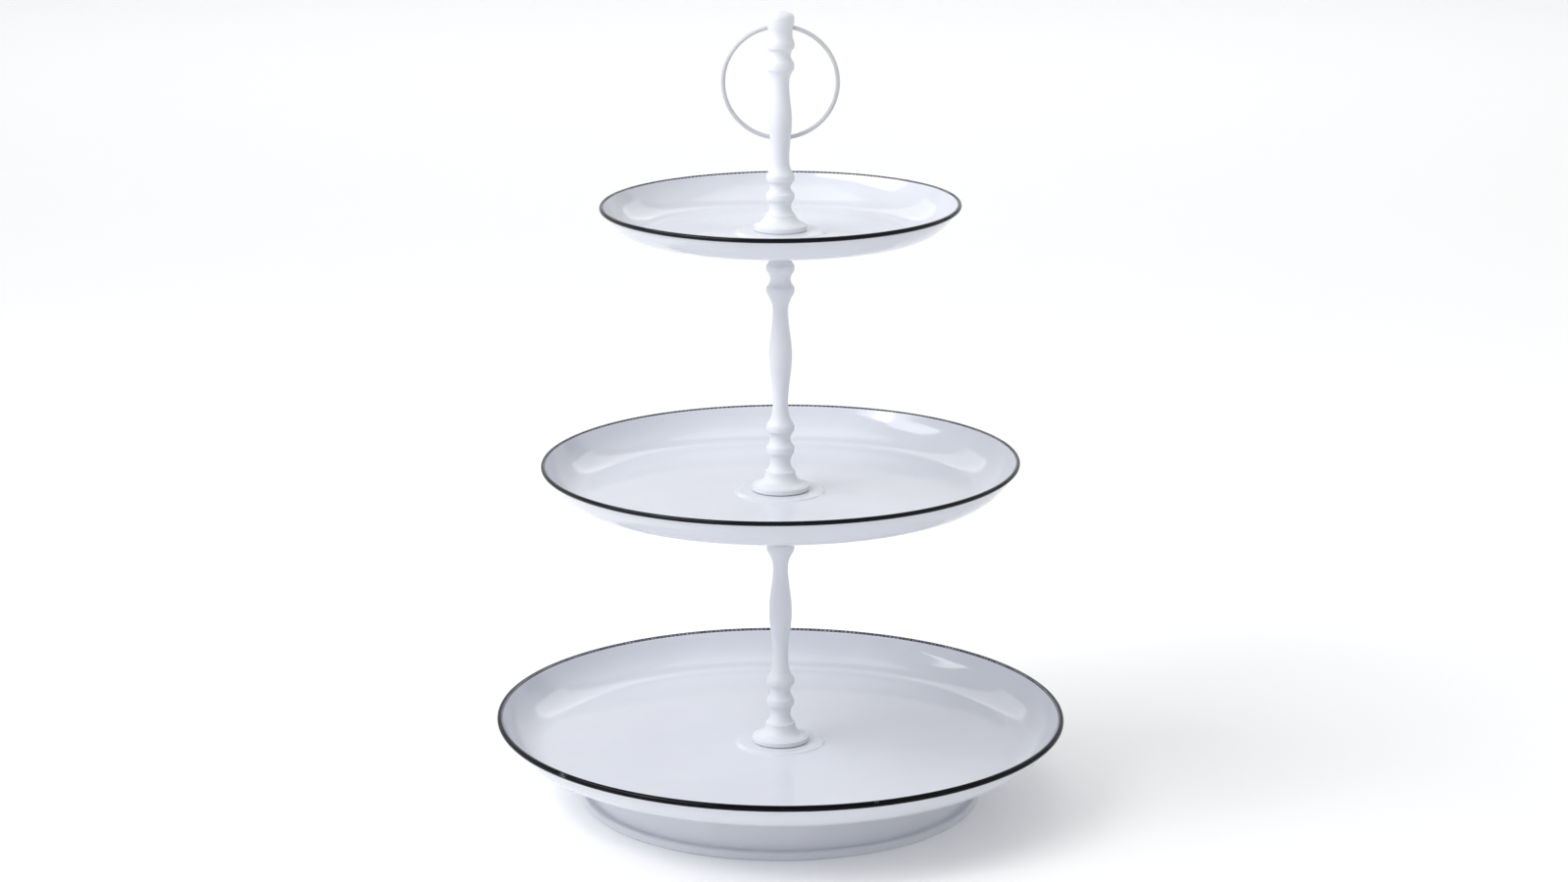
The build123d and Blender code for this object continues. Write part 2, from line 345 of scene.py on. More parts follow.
# ------------------------------------------------------------------ materials
class Shader:
    """A node material with one Principled shader, and short names for adding nodes."""

    def __init__(self, name):
        self.material = bpy.data.materials.new(name)
        self.material.use_nodes = True
        self.tree = self.material.node_tree
        self.principled = self.tree.nodes["Principled BSDF"]
        self.place = self.add("ShaderNodeTexCoord").outputs["Object"]

    def add(self, kind, settings=None, **inputs):
        node = self.tree.nodes.new(kind)
        for key, value in (settings or {}).items():
            setattr(node, key, value)
        for key, value in inputs.items():
            self.plug(node.inputs[key.replace("_", " ")], value)
        return node

    def plug(self, socket, value):
        if isinstance(value, bpy.types.NodeSocket):
            self.tree.links.new(value, socket)
        else:
            socket.default_value = value

    def set(self, **inputs):
        for key, value in inputs.items():
            self.plug(self.principled.inputs[key.replace("_", " ")], value)

    def stretched(self, x, y, z):
        """The object's own coordinates, scaled by a factor along each axis."""
        node = self.add("ShaderNodeVectorMath", {"operation": "MULTIPLY"})
        self.plug(node.inputs[0], self.place)
        node.inputs[1].default_value = (x, y, z)
        return node.outputs[0]

    def noise(self, scale, detail=3.0, roughness=0.5, place=None):
        node = self.add("ShaderNodeTexNoise", Vector=place or self.place, Scale=scale,
                        Detail=detail, Roughness=roughness)
        return node.outputs["Fac"]

    def remap(self, value, start, end, out_start, out_end):
        node = self.add("ShaderNodeMapRange", Value=value)
        for slot, number in zip(range(1, 5), (start, end, out_start, out_end)):
            node.inputs[slot].default_value = number
        return node.outputs["Result"]

    def combine(self, operation, first, second):
        node = self.add("ShaderNodeMath", {"operation": operation})
        self.plug(node.inputs[0], first)
        self.plug(node.inputs[1], second)
        return node.outputs[0]

    def near(self, point, reach):
        """1 at a point of the object, falling to 0 at a distance of reach."""
        node = self.add("ShaderNodeVectorMath", {"operation": "DISTANCE"})
        self.plug(node.inputs[0], self.place)
        node.inputs[1].default_value = point
        return self.remap(node.outputs["Value"], 0.0, reach, 1.0, 0.0)

    def mix(self, factor, first, second):
        node = self.add("ShaderNodeMix", {"data_type": "RGBA"})
        self.plug(node.inputs["Factor"], factor)
        self.plug(node.inputs[6], first)
        self.plug(node.inputs[7], second)
        return node.outputs[2]

    def bump(self, *layers):
        """Stacked bumps, each a height and the distance that its full range stands for."""
        normal = None
        for height, distance in layers:
            node = self.add("ShaderNodeBump", Height=height, Distance=distance)
            if normal:
                self.plug(node.inputs["Normal"], normal)
            normal = node.outputs["Normal"]
        self.plug(self.principled.inputs["Normal"], normal)


def round_the_axis(s):
    """Coordinates of radius and height alone, for marks that run round the axis."""
    split = s.add("ShaderNodeSeparateXYZ", Vector=s.place)
    square = s.combine("ADD", s.combine("MULTIPLY", split.outputs[0], split.outputs[0]),
                       s.combine("MULTIPLY", split.outputs[1], split.outputs[1]))
    radius = s.combine("SQRT", square, 0.0)
    return s.add("ShaderNodeCombineXYZ", X=radius, Y=split.outputs[2], Z=0.0).outputs[0]


def white_enamel():
    """Cool white vitreous enamel: glassy, faintly wavy, with a few specks and duller patches."""
    s = Shader("white_enamel")
    cloud = s.remap(s.noise(11.0, 2.0), 0.35, 0.65, 0.0, 1.0)
    coat = s.mix(cloud, (0.682, 0.700, 0.766, 1), (0.707, 0.725, 0.786, 1))
    speck = s.remap(s.noise(620.0, 1.0), 0.80, 0.83, 0.0, 0.5)
    s.set(Base_Color=s.mix(speck, coat, (0.30, 0.30, 0.33, 1)))
    worn = s.noise(55.0, 4.0, 0.6)
    s.set(Roughness=s.remap(worn, 0.35, 0.7, 0.06, 0.13))
    s.set(IOR=1.5)
    s.bump((s.noise(16.0, 2.0), 0.00035), (s.noise(260.0, 2.0), 0.00002))
    return s.material


# Marks on the bottom rim: degrees round from +X, reach in metres, strength.
RIM_MARKS = ((222.9, 0.0045, 0.85), (-71.5, 0.0024, 0.55))


def rim_point(angle):
    """Point on the outside of the bottom rim, in metres."""
    a = math.radians(angle)
    radius = (RIM_RADII[0] + BEADS[0] * 0.75) * MM
    return (radius * math.cos(a), radius * math.sin(a), (RIM_LEVELS[0] + BEADS[0] * 0.5) * MM)


def black_enamel():
    """Black enamel of the rims, with slight scuffs and two chipped marks."""
    s = Shader("black_enamel")
    scuff = s.remap(s.noise(520.0, 4.0, 0.65, s.stretched(1, 1, 2.5)), 0.66, 0.74, 0.0, 1.0)
    faint = s.combine("MULTIPLY", scuff, 0.12)
    chip = 0.0
    for angle, reach, strength in RIM_MARKS:
        point = rim_point(angle)
        grain = s.noise(900.0, 3.0, 0.7, s.stretched(1, 1, 1.6))
        grain = s.remap(grain, 0.47, 0.60, 0.0, strength)
        chip = s.combine("ADD", chip, s.combine("MULTIPLY", s.near(point, reach), grain))
    wear = s.combine("MAXIMUM", faint, chip)
    s.set(Base_Color=s.mix(wear, (0.0020, 0.0020, 0.0034, 1), (0.42, 0.42, 0.46, 1)))
    s.set(Roughness=s.remap(s.noise(140.0, 4.0), 0.3, 0.7, 0.04, 0.12))
    s.set(Specular_IOR_Level=0.2, Specular_Tint=(0.90, 0.92, 1.0, 1))
    s.bump((s.noise(45.0, 2.0), 0.00012), (s.noise(700.0, 2.0), 0.00002))
    return s.material


def lacquer(name, dim, bright):
    """Satin lacquer, between two colours, with painted shade greying its creases, and faint turning
    lines.
    """
    s = Shader(name)
    cloud = s.remap(s.noise(36.0), 0.35, 0.65, 0.0, 1.0)
    coat = s.mix(cloud, dim, bright)
    # Painted shade: where the surface is hollow (low pointiness, in the creases) the coat is greyed
    # towards a blue-grey.
    painted_crease_shade = s.remap(s.add("ShaderNodeNewGeometry").outputs["Pointiness"], 0.47, 0.5, 0.12, 0.0)
    s.set(Base_Color=s.mix(painted_crease_shade, coat, (0.50, 0.51, 0.57, 1)))
    s.set(Roughness=s.remap(s.noise(95.0, 4.0), 0.3, 0.7, 0.28, 0.44))
    s.set(Specular_IOR_Level=0.3)
    turning = s.noise(1500.0, 2.0, 0.5, round_the_axis(s))
    s.bump((s.noise(320.0, 2.0), 0.00004), (turning, 0.000006))
    return s.material


def white_lacquer():
    """The turned posts' coat."""
    return lacquer("white_lacquer", (0.737, 0.750, 0.800, 1), (0.767, 0.780, 0.820, 1))


def ring_shade_lacquer():
    """The posts' white lacquer made darker and greyer for the ring, as painted shade."""
    return lacquer("ring_shade_lacquer", (0.55, 0.56, 0.59, 1), (0.62, 0.63, 0.65, 1))


def plated_steel():
    """Zinc-plated steel: grey, with soft mottling and turning lines."""
    s = Shader("plated_steel")
    cloud = s.remap(s.noise(420.0, 4.0), 0.35, 0.65, 0.0, 1.0)
    s.set(Base_Color=s.mix(cloud, (0.52, 0.53, 0.55, 1), (0.66, 0.66, 0.65, 1)), Metallic=1.0)
    s.set(Roughness=s.remap(s.noise(900.0, 3.0), 0.3, 0.7, 0.26, 0.46))
    s.bump((s.noise(2600.0, 2.0, 0.5, round_the_axis(s)), 0.00001), (s.noise(1400.0), 0.00002))
    return s.material


def soft_gasket():
    """Pale soft plastic with a matt, slightly grainy skin."""
    s = Shader("soft_gasket")
    cloud = s.remap(s.noise(240.0, 3.0), 0.35, 0.65, 0.0, 1.0)
    s.set(Base_Color=s.mix(cloud, (0.50, 0.51, 0.53, 1), (0.58, 0.585, 0.60, 1)))
    s.set(Roughness=s.remap(s.noise(500.0), 0.3, 0.7, 0.48, 0.68))
    s.bump((s.noise(2200.0, 2.0), 0.00002))
    return s.material


slot_of = {row["node"]: row["material_slot"] for row in frame["record"]["subparts"]}
finishes = {}
makers = (white_enamel, black_enamel, white_lacquer, ring_shade_lacquer, plated_steel, soft_gasket)
for maker in makers:
    finishes[maker.__name__] = maker()


# ------------------------------------------------------------------ trays and rims
TRAY_SEGMENTS = (384, 320, 256)
SWAY = 0.22                 # rise and fall of a tray's edge
SWAY_FROM = 0.74            # where the sway starts, as a share of the rim's radius
# Each edge's lean, and the side that it dips to in degrees round from +X.
DIPS = ((1.1, 325), (1.2, 175), (1.5, 235))
RIPPLE = 0.16               # unevenness of a tray's wall
RIPPLE_FROM = 0.8           # where the ripple starts, and its width, as shares of the radius
RIPPLE_WIDTH = 0.19
TANGENT = 90 + WALL_ANGLE   # where the wall's upper face meets the bead, in degrees from +r
BLACK_FROM = (110, 93, 90)  # where the black coat starts on each bead, in degrees from +r
LAP_SHEET = 0.4             # thickness of the white lap over the bead
LAP_DRIFT = 4.0             # degrees by which the lap's end wanders
ENAMEL = 0.11               # how far the enamel softens the sheet's creases


def sway(radius, angle, index):
    """Rise of a tray's outer part: its waves, and its lean to one side."""
    depth, side = DIPS[index]
    rise = SWAY * lobes(angle, (2, 3, 5), 11 + index) - depth * np.cos(angle - math.radians(side))
    return rise * smooth_step(radius / RIM_RADII[index], SWAY_FROM, 1.0)


def tray_side(index, lift):
    """One face of the sheet, from the centre hole to the rim; the upper has lift SHEET."""
    slope = math.radians(WALL_ANGLE)
    bend = WALL_BEND - lift
    gap = BEADS[index] - (SHEET - lift)
    end_r = RIM_RADII[index] - gap * math.sin(slope)
    end_z = RIM_LEVELS[index] - LEVELS[index] + gap * math.cos(slope)
    run = (end_z - lift - bend * (1 - math.cos(slope))) / math.sin(slope)
    floor_radius = end_r - bend * math.sin(slope) - run * math.cos(slope)
    turn = math.degrees(math.acos(1 - BOSS_RISE / (2 * BOSS_BLEND - SHEET)))
    pen = Pen(HOLE, LEVELS[index] + BOSS_RISE + lift)
    pen.run(BOSS_TOP_RADIUS - HOLE)
    pen.turn(BOSS_BLEND - SHEET + lift, -turn)
    pen.turn(BOSS_BLEND - lift, turn)
    pen.run(floor_radius - pen.points[-1][0])
    pen.turn(bend, WALL_ANGLE)
    pen.run(run)
    return pen.points


def on_bead(index, angle, depth=0.0):
    """Point on a rim's round section, or a depth inside it; the angle is from +r, in degrees."""
    reach = BEADS[index] - depth
    a = math.radians(angle)
    return (RIM_RADII[index] + reach * math.cos(a), RIM_LEVELS[index] + reach * math.sin(a))


def tray_shape(index):
    """Sways the edge, ripples the wall, and gives the white lap on the bead an uneven end."""
    def shape(points):
        radius, angle = polar(points)
        share = radius / RIM_RADII[index]
        wall = np.sin(math.pi * np.clip((share - RIPPLE_FROM) / RIPPLE_WIDTH, 0, 1))
        across, up = radius - RIM_RADII[index], points[..., 2] - RIM_LEVELS[index]
        turn = np.degrees(np.arctan2(up, across))
        lapped = np.clip((TANGENT - turn) / (TANGENT - BLACK_FROM[index]), 0, 1)
        lapped = lapped * (np.hypot(across, up) < BEADS[index] + 0.05) * (up > 0)
        drift = lapped * math.radians(LAP_DRIFT) * lobes(angle, (13, 29, 47, 71), 31 + index)
        points[..., 2] += across * np.sin(drift) + up * (np.cos(drift) - 1)
        outward = across * (np.cos(drift) - 1) - up * np.sin(drift)
        points[..., 2] += sway(radius, angle, index)
        return push_out(points, outward + RIPPLE * lobes(angle, (7, 11, 17), 21 + index) * wall)
    return shape


def make_tray(index):
    """Enamelled tray: floor with a raised disc, wall, and the white lap over its rim."""
    start, end = BLACK_FROM[index], TANGENT
    middle = (start + end) / 2
    under = tray_side(index, 0)
    upper = tray_side(index, SHEET)[::-1]
    sheet = under + run_to(under[-1], on_bead(index, end, LAP_SHEET))
    sheet += arc_to(sheet[-1], on_bead(index, middle, LAP_SHEET), on_bead(index, start, LAP_SHEET))
    sheet += run_to(sheet[-1], on_bead(index, start))
    sheet += arc_to(sheet[-1], on_bead(index, middle), upper[0])
    sheet += upper[1:] + run_to(upper[-1], under[0])
    outline = spaced(soften(sheet, ENAMEL, closed=True), closeness=0.008, longest=4.0)
    name = TIERS[index] + "_tray"
    tray = turned(name + "_enamelled", outline, even_angles(TRAY_SEGMENTS[index]), closed=True,
                  shape=tray_shape(index))
    finish_piece(tray, name)


RIM_SEGMENTS = (600, 560, 512)
SUNK = 0.25                 # how far the bead lies under the white lap
COAT_WANDER = 0.02          # unevenness of the black coat
MARK_DEPTH = 0.16           # depth of a full mark in the coat
MARK_SPREAD = 0.6           # width of a mark's dent, as a share of its reach


def rim_outline(index):
    """Section of a round bead, cut flat for the sheet's edge and sunk under the white lap."""
    slope = math.radians(WALL_ANGLE)
    along = np.array([math.cos(slope), math.sin(slope)])
    bead = BEADS[index]
    seat = np.array(on_bead(index, TANGENT, SHEET))
    under = seat - math.sqrt(bead ** 2 - (bead - SHEET) ** 2) * along
    start = math.degrees(math.atan2(under[1] - RIM_LEVELS[index], under[0] - RIM_RADII[index])) - 360
    black = [on_bead(index, a) for a in np.arange(start, BLACK_FROM[index] - 2, 2.0)]
    hidden = [on_bead(index, a, SUNK) for a in np.arange(BLACK_FROM[index] + 4, TANGENT, 4.0)]
    points = [tuple(under)] + black[1:] + hidden
    points += [on_bead(index, TANGENT, SUNK), tuple(seat), tuple(under)]
    return spaced(soften(points, 0.07, closed=True), closeness=0.002, longest=0.5)


def rim_shape(index, marks):
    """Sways the rim with its tray, and wears the coat unevenly, with a dent at each mark."""
    def shape(points):
        radius, angle = polar(points)
        across, up = radius - RIM_RADII[index], points[..., 2] - RIM_LEVELS[index]
        outward = np.clip((across + up * 0.3) / BEADS[index], 0, 1)
        thinner = -COAT_WANDER * (1 + lobes(angle, (8, 19, 37), 41 + index)) * outward
        for mark, reach, strength in marks:
            away = away_from(angle, math.radians(mark)) * RIM_RADII[index]
            near = np.exp(-(away / (reach / MM * MARK_SPREAD)) ** 2)
            thinner = thinner - MARK_DEPTH * strength * near * outward
        points[..., 2] += sway(radius, angle, index)
        return push_out(points, thinner)
    return shape


def make_rim(index):
    """Rolled rim: a round black bead that grips the sheet's edge."""
    marks = RIM_MARKS if index == 0 else ()
    places = [math.radians(mark) for mark, _, _ in marks]
    angles = angles_near(RIM_SEGMENTS[index], places, reach=0.03, extra=33)
    name = TIERS[index] + "_rim"
    rim = turned(name + "_rolled", rim_outline(index), angles, closed=True,
                 shape=rim_shape(index, marks))
    finish_piece(rim, name)


# ------------------------------------------------------------------ foot ring
FOOT_SEGMENTS = 384
WELDS = 12                  # spot welds that hold the flange to the tray
WELD_RADIUS = 2.6
WELD_DEPTH = 0.4
SEAM_ANGLE = math.pi / 2    # butt joint of the rolled strip, at the back
SEAM_WIDTH = 1.6
SEAM_RISE = 0.3
FOOT_BOW = 0.18             # unevenness of the wall
FOOT_BURR = 0.35            # bevel of the strip's cut edge, on the table
FOOT_CREASE = 0.3           # bevel between lip and wall
FOOT_COAT = 0.2             # how far the enamel softens the creases
FOOT_TOP = high("foot_ring").z
FOOT_INNER = FOOT_WALL_RADIUS - FOOT_SHEET
FLANGE_INNER = FOOT_WALL_RADIUS - FOOT_FLANGE
WELD_ANGLES = [(i + 0.5) * math.tau / WELDS for i in range(WELDS)]
WELD_CIRCLE = (FLANGE_INNER + FOOT_INNER) / 2 - 0.6


def foot_outline():
    """Section of the foot: lip on the table, upright wall and inward flange."""
    lip, wall, under = FOOT_LIP_RADIUS, FOOT_WALL_RADIUS, FOOT_TOP - FOOT_SHEET
    steps = [(FOOT_INNER + FOOT_BURR, 0.0)]
    steps += rounded((lip, 0.0), FOOT_LIP_ROUND, OUT, UP)
    steps += rounded((lip, FOOT_LIP_HEIGHT), FOOT_LIP_ROUND, UP, IN)
    steps += [(wall + FOOT_CREASE, FOOT_LIP_HEIGHT), (wall, FOOT_LIP_HEIGHT + FOOT_CREASE)]
    steps += rounded((wall, FOOT_TOP), FOOT_CORNER, UP, IN)
    steps += [(FLANGE_INNER, FOOT_TOP), (FLANGE_INNER, under)]
    steps += rounded((FOOT_INNER, under), FOOT_CORNER - FOOT_SHEET, OUT, DOWN)
    steps += [(FOOT_INNER, FOOT_BURR)]
    outline = trace((FOOT_INNER, FOOT_BURR), steps)
    return spaced(soften(outline, FOOT_COAT, closed=True), longest=3.0)


def foot_shape(points):
    """Bows the wall, raises the seam and dents the flange's underside at each weld."""
    radius, angle = polar(points)
    height = points[..., 2]
    up_wall = (height - FOOT_LIP_HEIGHT) / (FOOT_TOP - FOOT_LIP_HEIGHT)
    middle = np.sin(math.pi * np.clip(up_wall, 0, 1))
    bowed = FOOT_BOW * lobes(angle, (3, 5, 8), 51) * middle
    away = away_from(angle, SEAM_ANGLE) * FOOT_WALL_RADIUS
    outside = (radius > FOOT_WALL_RADIUS - 0.4) & (height > FOOT_LIP_HEIGHT + 0.2)
    seam = SEAM_RISE * np.exp(-(away / SEAM_WIDTH) ** 2) * outside * np.clip(middle * 3, 0, 1)
    underside = (height > FOOT_TOP - FOOT_SHEET - 0.3) & (height < FOOT_TOP - 0.5)
    underside &= radius < FOOT_INNER + 0.2
    for weld in WELD_ANGLES:
        gap = np.hypot(points[..., 0] - WELD_CIRCLE * math.cos(weld),
                       points[..., 1] - WELD_CIRCLE * math.sin(weld))
        dent = WELD_DEPTH * (1 - smooth_step(gap, 0.55 * WELD_RADIUS, WELD_RADIUS))
        points[..., 2] += dent * underside
    return push_out(points, bowed + seam)


def make_foot():
    """Ring foot of rolled strip, with its butt seam at the back and its spot welds."""
    angles = angles_near(FOOT_SEGMENTS, WELD_ANGLES + [SEAM_ANGLE], reach=0.028, extra=15)
    foot = turned("foot_ring_enamelled", foot_outline(), angles, closed=True, shape=foot_shape)
    finish_piece(foot, "foot_ring")


# ------------------------------------------------------------------ posts
POST_SEGMENTS = 96
PAINT = 0.11                # how far the coat softens creases


def turning(middle, up, radius):
    """Bead or cove: an arc through its crest or waist, up to the crease above it."""
    return ((radius, middle), (CREASE, up))


def flange_steps(radius):
    """A post's flange, from the inside of its foot to the start of the flare."""
    inset = FLANGE_ROUND * (1 - math.sqrt(0.5))
    top = FLANGE_EDGE
    return [
        (radius - FLANGE_ROUND, 0.0),
        ((radius - inset, inset), (radius, FLANGE_ROUND)),
        (radius, top - FLANGE_ROUND),
        ((radius - inset, top - inset), (radius - FLANGE_ROUND, top)),
        (radius - FLANGE_STEP, top),
        (radius - FLANGE_STEP, FLARE_START),
    ]


def dome(radius, start, end):
    """Shallow dome: an arc centred on the axis, from its edge to its top."""
    rise = end - start
    sphere = (radius ** 2 + rise ** 2) / (2 * rise)
    middle = end - sphere + math.sqrt(sphere ** 2 - radius ** 2 / 4)
    return ((radius / 2, middle), (0.0, end))


SOCKET = [(THREAD_RADIUS, SOCKET_DEPTH), (THREAD_RADIUS, 0.0)]


def lifted(outline, level):
    return outline + np.array([0.0, level])


def make_long_post(node):
    """Lower or middle post: flange, flare, two beads, long belly, three beads and a collar."""
    top = POST_LENGTH
    steps = SOCKET + flange_steps(high(node).x)
    steps += [((12.9, 6.6), (10.5, 12.4)), (10.5, 13.3), (9.6, 13.8)]
    steps += [turning(20.3, 26.5, COVE), turning(28.9, 31.3, BEAD)]
    steps += [turning(36.7, 42.1, COVE), turning(44.5, 46.9, BEAD)]
    belly = [(7.1, 51.2), (6.0, 55.4), (5.45, 65.0), (8.2, 98.5), (5.4, 126.5), (5.95, 133.5)]
    steps += [belly + [(CREASE, 141.2)], turning(143.6, 145.9, BEAD)]
    steps += [turning(151.3, 156.8, COVE), turning(159.1, 161.4, BEAD)]
    steps += [((COVE, 167.2), (CREASE, 173.4)), (COLLAR, 173.8)]
    steps += [(COLLAR, top - COLLAR_ROUND), (COLLAR - COLLAR_ROUND, top), (THREAD_RADIUS, top)]
    steps += [(THREAD_RADIUS, top - SOCKET_DEPTH), (0.0, top - SOCKET_DEPTH)]
    outline = spaced(soften(trace((0.0, SOCKET_DEPTH), steps), PAINT))
    outline = lifted(outline, low(node).z)
    finish_piece(turned(node + "_lacquered", outline, even_angles(POST_SEGMENTS)), node)


def handle_outline():
    """Section of the handle post, from its socket to the top of its domed head."""
    steps = SOCKET + flange_steps(high("handle_post").x)
    steps += [((12.4, 6.9), (10.4, 9.9)), (10.4, 10.7), (9.6, 11.1)]
    steps += [turning(16.1, 21.0, WIDE_COVE), turning(23.2, 25.4, BEAD)]
    steps += [turning(29.8, 34.1, COVE), turning(36.3, 38.6, BEAD)]
    belly = [(7.2, 42.7), (6.15, 49.6), (8.05, 76.5), (6.15, 101.6), (7.0, 107.4), (8.6, 110.6)]
    steps += [belly, (9.4, 111.8), (9.6, 113.4), (9.6, 115.2), (9.1, 117.1)]
    steps += [turning(121.4, 126.4, COVE), turning(128.8, 131.0, BEAD)]
    steps += [((8.4, 134.4), (HEAD_RADIUS, 140.9)), (9.65, 144.9), (9.7, 147.4)]
    steps += [((9.0, 149.1), (7.1, 150.4)), dome(7.1, 150.4, HANDLE_HEIGHT)]
    return soften(trace((0.0, SOCKET_DEPTH), steps), PAINT)


PATCH = 6                   # half the cells across the square patch round the bore
MOUTH_SHARES = (0.3, 0.6, 0.85, 1.0)        # rows from the patch's edge to the lip
LIP_TURNS = (22.5, 45.0, 67.5, 90.0)        # rows round the lip, in degrees
BORE_SHARES = (0.2, 0.4, 0.6, 0.8)          # rows along the bore


def handle_grid():
    """Outline with an even band of rows at the bore, that band, and the bore's row."""
    fine = handle_outline()
    cell = HEAD_RADIUS * math.tau / POST_SEGMENTS
    rows = BORE_HEIGHT + cell * np.arange(-PATCH, PATCH + 1)
    head = fine[:, 1] > HANDLE_HEIGHT / 2
    first = int(np.argmax(head & (fine[:, 1] > rows[0])))
    last = int(np.argmax(head & (fine[:, 1] > rows[-1])))
    near = fine[first - 1:last + 1]
    band = np.column_stack([np.interp(rows, near[:, 1], near[:, 0]), rows])
    below = spaced(fine[:first])[:-1]
    above = spaced(fine[last:])[1:]
    return np.concatenate([below, band, above]), band, len(below) + PATCH


def patch_edge():
    """Steps round the square patch, as (columns across, rows up) from its centre."""
    cells = range(-PATCH, PATCH)
    bottom, right = [(k, -PATCH) for k in cells], [(PATCH, k) for k in cells]
    return bottom + right + [(-k, PATCH) for k in cells] + [(-PATCH, -k) for k in cells]


def ring_faces(first, second):
    """Quads between two rings of vertices."""
    count = len(first)
    return [(first[k], first[(k + 1) % count], second[(k + 1) % count], second[k])
            for k in range(count)]


def bridge(ring, places, vertices, faces):
    """Joins a ring to new vertices at the given places, and gives the new ring."""
    new = list(range(len(vertices), len(vertices) + len(places)))
    vertices.extend(places)
    faces.extend(ring_faces(ring, new))
    return new


def bore_mouth(ring, side, band, vertices, faces):
    """Leads the patch's square edge into the bore's round lip, at one side of the head."""
    lip = BORE + BORE_LIP

    def on_head(across, up):
        radius = np.interp(BORE_HEIGHT + up, band[:, 1], band[:, 0])
        return math.sqrt(radius * radius - across * across)

    edge = [(vertices[k][1], vertices[k][2] - BORE_HEIGHT) for k in ring]
    turns = [math.atan2(up, across) for across, up in edge]
    for share in MOUTH_SHARES:
        places = []
        for (across, up), a in zip(edge, turns):
            y = across + share * (lip * math.cos(a) - across)
            z = up + share * (lip * math.sin(a) - up)
            places.append((side * on_head(y, z), y, z + BORE_HEIGHT))
        ring = bridge(ring, places, vertices, faces)
    for q in np.radians(LIP_TURNS):
        radius = lip - BORE_LIP * math.sin(q)
        sunk = BORE_LIP * (1 - math.cos(q))
        places = [(side * (on_head(lip * math.cos(a), lip * math.sin(a)) - sunk),
                   radius * math.cos(a), radius * math.sin(a) + BORE_HEIGHT) for a in turns]
        ring = bridge(ring, places, vertices, faces)
    return ring


def make_handle():
    """Handle post, with a cross bore that has a softened lip at each side of the head."""
    outline, band, bore_row = handle_grid()
    columns = POST_SEGMENTS
    vertices = [tuple(p) for p in turn_grid(outline, even_angles(columns)).reshape(-1, 3)]
    faces, mouths, skip = [], [], set()
    cells = range(-PATCH, PATCH)
    for side, bore_column in ((1, 0), (-1, columns // 2)):
        skip |= {(bore_row + i, (bore_column + j) % columns) for i in cells for j in cells}
        ring = [(bore_row + up) * columns + (bore_column + side * across) % columns
                for across, up in patch_edge()]
        mouths.append(bore_mouth(ring, side, band, vertices, faces))
    ring, far_ring = mouths
    ends = [(np.array(vertices[a]), np.array(vertices[b])) for a, b in zip(ring, far_ring)]
    for share in BORE_SHARES:
        places = [tuple(a * (1 - share) + b * share) for a, b in ends]
        ring = bridge(ring, places, vertices, faces)
    faces += ring_faces(ring, far_ring)
    faces += grid_faces(len(outline), columns, False, skip)
    placed = np.array(vertices) + np.array([0, 0, low("handle_post").z])
    finish_piece(make_object("handle_post_lacquered", placed, faces), "handle_post")


# ------------------------------------------------------------------ carry ring
WIRE = 1.5                  # radius of the ring's wire
WIRE_WANDER = 0.02          # unevenness of the wire, as a share of its radius
SWELLING = 0.14             # of the butt weld
SWELLING_REACH = 2.2
RING_SEGMENTS, WIRE_SEGMENTS = 240, 24


def make_ring():
    """Wire ring, slightly uneven, with the swelling of its butt weld at the bottom."""
    lowest, highest = low("carry_ring"), high("carry_ring")
    radius = highest.x - WIRE
    middle = (lowest + highest) / 2
    lean = math.acos(((highest.z - lowest.z) / 2 - WIRE) / radius)
    major, minor = even_angles(RING_SEGMENTS)[:, None], even_angles(WIRE_SEGMENTS)[None, :]
    weld = np.exp(-((major - 1.5 * math.pi) * radius / SWELLING_REACH) ** 2)
    thick = WIRE * (1 + WIRE_WANDER * lobes(major, (5, 11, 17), 61)) + SWELLING * weld
    reach = radius + thick * np.cos(minor)
    x, y, z = reach * np.cos(major), thick * np.sin(minor) + 0 * major, reach * np.sin(major)
    c, s = math.cos(lean), math.sin(lean)
    points = np.stack([x, y * c - z * s, y * s + z * c], -1) + np.array(middle)
    faces = grid_faces(*points.shape[:2], True)
    ring = make_object("carry_ring_lacquered", points.reshape(-1, 3), faces)
    # The ring's finish is the white lacquer darkened as painted shade.
    finish_piece(ring, "carry_ring", "ring", "ring_shade_lacquer")


# ------------------------------------------------------------------ gaskets and fasteners
THREAD_PITCH = 1.0
THREAD_DEPTH = 0.5
THREAD_SEGMENTS = 48
GASKET_SEGMENTS = 128
WASHER_SEGMENTS = 96


def make_gasket(node):
    """Thin soft disc, a little inside the edge of its CAD node."""
    lowest, highest = low(node), high(node)
    outline = rounded_box(HOLE, highest.x - 0.02, lowest.z, highest.z, spread=0.09)
    gasket = turned(node + "_moulded", outline, even_angles(GASKET_SEGMENTS), closed=True)
    finish_piece(gasket, node)


def threaded(points):
    """A V thread cut into a cylinder of the thread's outer radius."""
    radius, angle = polar(points)
    phase = (points[..., 2] / THREAD_PITCH - angle / math.tau) % 1.0
    # The clip leaves narrow flats at the thread's crests and roots.
    depth = THREAD_DEPTH * np.clip(1.25 * np.abs(2 * phase - 1) - 0.12, 0, 1)
    on_shank = (radius > THREAD_RADIUS - 0.01) & (radius < THREAD_RADIUS + 0.01)
    return push_out(points, -depth * on_shank)


def shank_steps(radius, end, start):
    """Close rows up a threaded rod, so that the thread has a shape, and its chamfered tip."""
    rows = np.arange(start, end - THREAD_DEPTH, THREAD_PITCH / 8)
    return [(radius, float(z)) for z in rows] + [(radius - THREAD_DEPTH, end), (0.0, end)]


